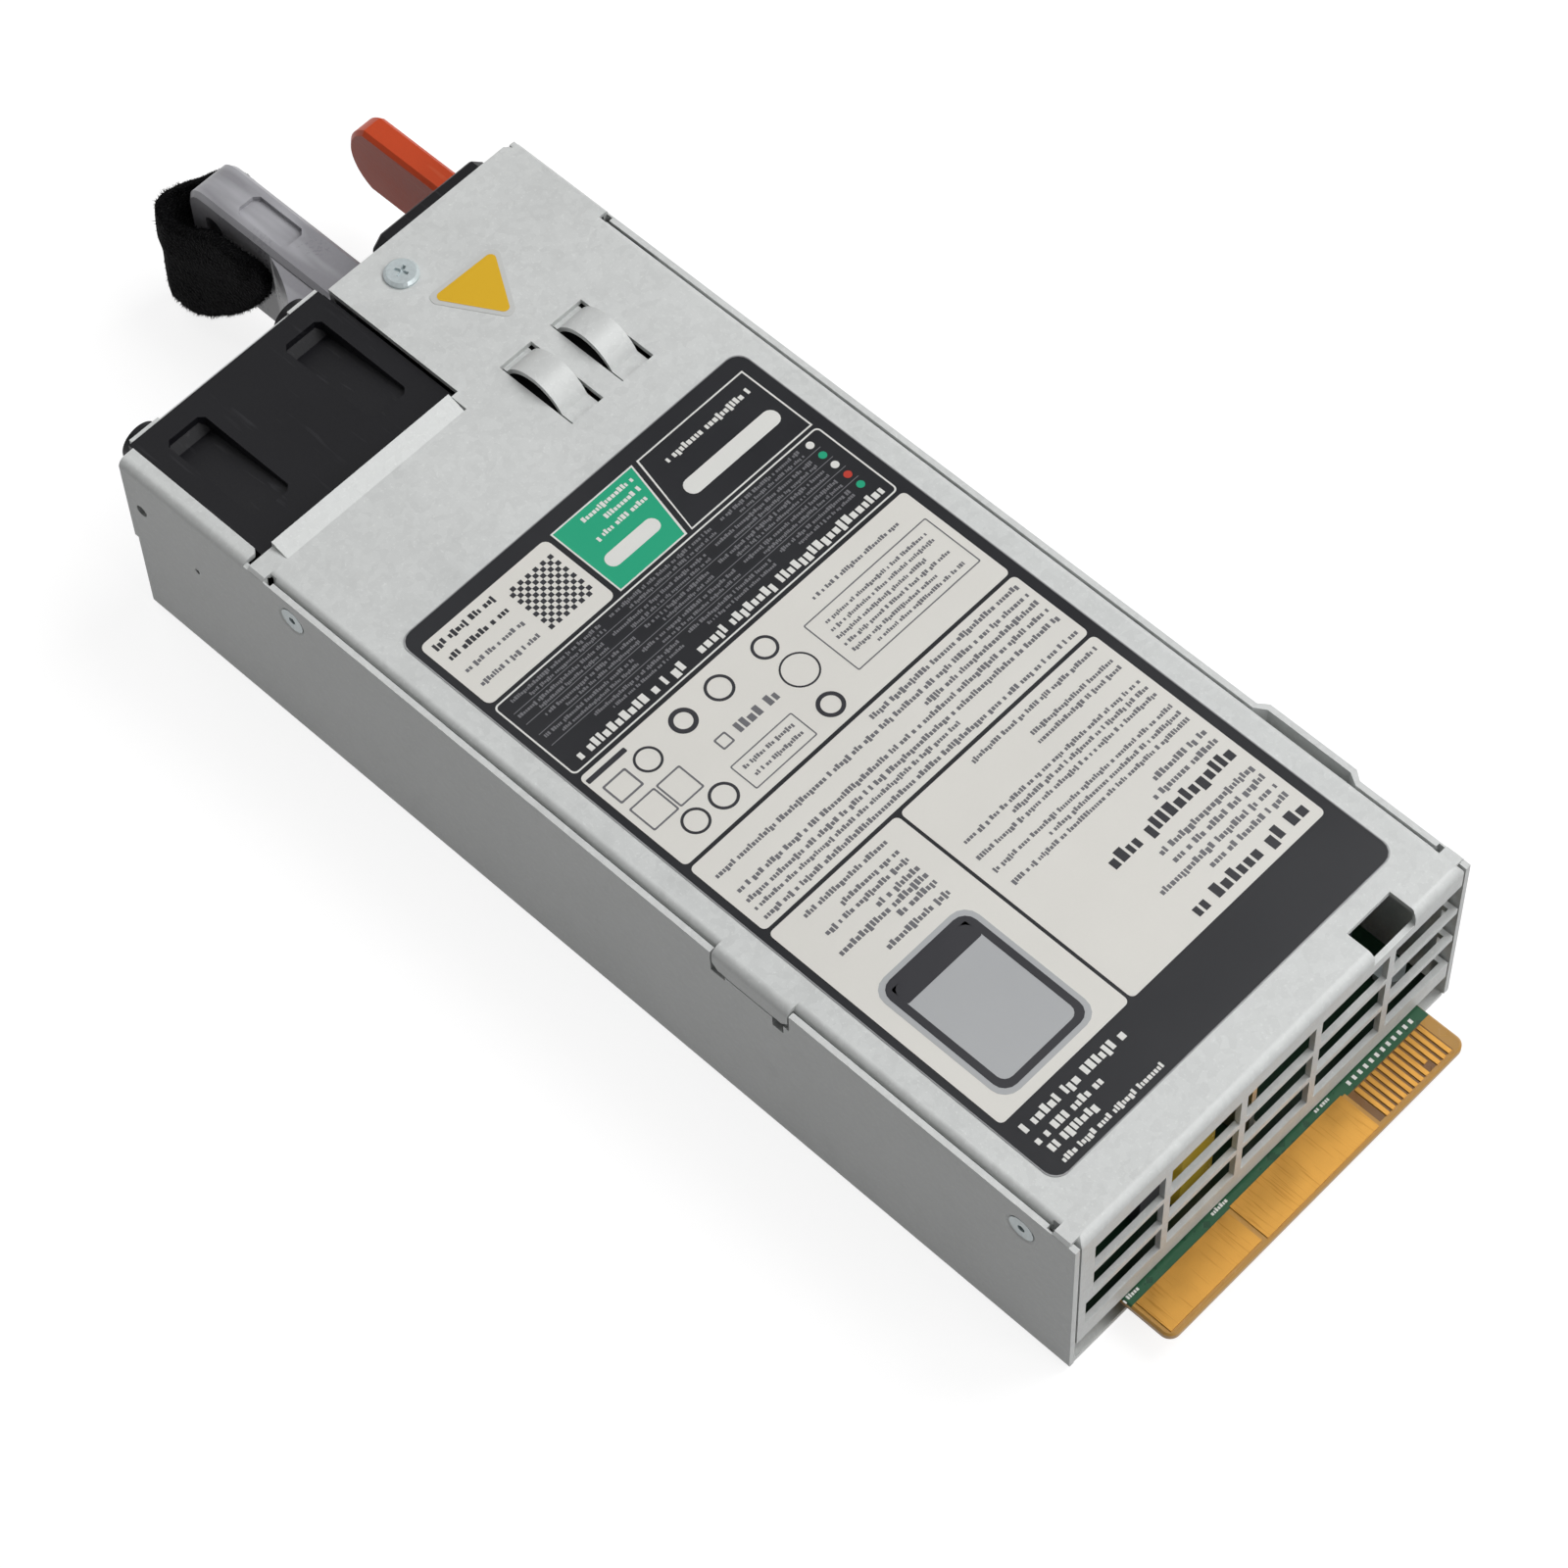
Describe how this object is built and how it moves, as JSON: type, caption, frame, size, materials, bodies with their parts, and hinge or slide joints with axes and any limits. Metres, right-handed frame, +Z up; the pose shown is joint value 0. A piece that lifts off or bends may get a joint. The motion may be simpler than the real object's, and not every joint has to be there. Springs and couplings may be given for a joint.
{
  "type": "hot swap server power supply",
  "caption": "Slim hot swap server power supply with sheet metal case, fan, mains inlet, pull handle, release latch and gold card edge output.",
  "frame": {"origin": "centre of the casing's underside", "axes": "+X across the casing towards the mains inlet side, +Y along the casing towards the card edge output, +Z up"},
  "size_m": [0.0872, 0.2507, 0.0417],
  "materials": {
    "galvanised_sheet": "matt zinc coated sheet",
    "zinc_plated": "zinc plated",
    "steel": "ground",
    "black_moulding": "fine texture",
    "stator_copper": "enamelled wire",
    "contact_blades": "nickel plated brass",
    "clear_handle": "tinted clear moulding",
    "strap_fabric": "looped pile",
    "status_light": "clear lens",
    "release_orange": "fine texture",
    "board_green": "solder mask",
    "gold_contact": "gold plated",
    "package_black": "moulded",
    "can_sleeve": "sleeved can",
    "ferrite": "sintered",
    "copper_winding": "enamelled wire",
    "winding_tape": "polyester tape",
    "moulded_base": "moulded",
    "box_capacitor": "potted box",
    "ceramic_disc": "dipped",
    "fuse_body": "ceramic",
    "relay_case": "moulded",
    "heatsink_metal": "extruded",
    "tinned_copper": "tin plated",
    "film_sheet": "film",
    "label_film": "printed film",
    "marker_yellow": "printed film"
  },
  "bodies": {
    "casing": {"base_tray": "galvanised_sheet", "top_cover": "galvanised_sheet", "front_panel": "galvanised_sheet", "inlet_plate": "galvanised_sheet", "side_rivets": "zinc_plated", "cover_screw": "zinc_plated", "handle_screws": "zinc_plated", "board_standoffs": "zinc_plated", "board_screws": "zinc_plated", "latch_bracket": "zinc_plated", "latch_pin": "steel", "fan_bearings": "steel", "inlet_housing": "black_moulding", "fan_guard": "black_moulding", "fan_frame": "black_moulding", "fan_stator": "stator_copper", "line_blade": "contact_blades", "neutral_blade": "contact_blades", "earth_blade": "contact_blades", "handle": "clear_handle", "handle_strap": "strap_fabric", "status_led": "status_light", "main_board": "board_green", "control_board": "board_green", "inlet_board": "board_green", "led_board": "board_green", "power_pads": "gold_contact", "signal_fingers": "gold_contact", "control_chips": "package_black", "rectifier_transistors": "package_black", "power_transistors": "package_black", "output_capacitors": "can_sleeve", "bulk_capacitors": "can_sleeve", "choke_cores": "ferrite", "transformer_core": "ferrite", "output_choke_core": "ferrite", "resonant_inductor": "ferrite", "choke_windings": "copper_winding", "pfc_winding": "copper_winding", "transformer_winding": "winding_tape", "output_inductor": "winding_tape", "choke_bases": "moulded_base", "pfc_inductor": "moulded_base", "film_capacitors": "box_capacitor", "disc_capacitors": "ceramic_disc", "line_fuse": "fuse_body", "inrush_relay": "relay_case", "primary_heatsink": "heatsink_metal", "secondary_heatsink": "heatsink_metal", "output_busbar": "tinned_copper", "inlet_leads": "tinned_copper", "insulation_film": "film_sheet", "rating_label": "label_film", "marker_sticker": "marker_yellow"},
    "rotor": {"fan_rotor": "black_moulding", "fan_shaft": "steel"},
    "latch": {"release_latch": "release_orange", "latch_spring": "steel"}
  },
  "joints": [
    {"name": "fan_spin", "type": "hinge", "parent": "casing", "child": "rotor", "pos_m": [-0.0219, -0.072, 0.019], "axis": [0, 1, 0], "continuous": true},
    {"name": "latch_swing", "type": "hinge", "parent": "casing", "child": "latch", "pos_m": [-0.0388, -0.0896, 0.0195], "axis": [0, 0, 1], "range_deg": [0, 11], "stiffness_Nm_per_rad": 0.08, "springref_deg": -2.86}
  ]
}
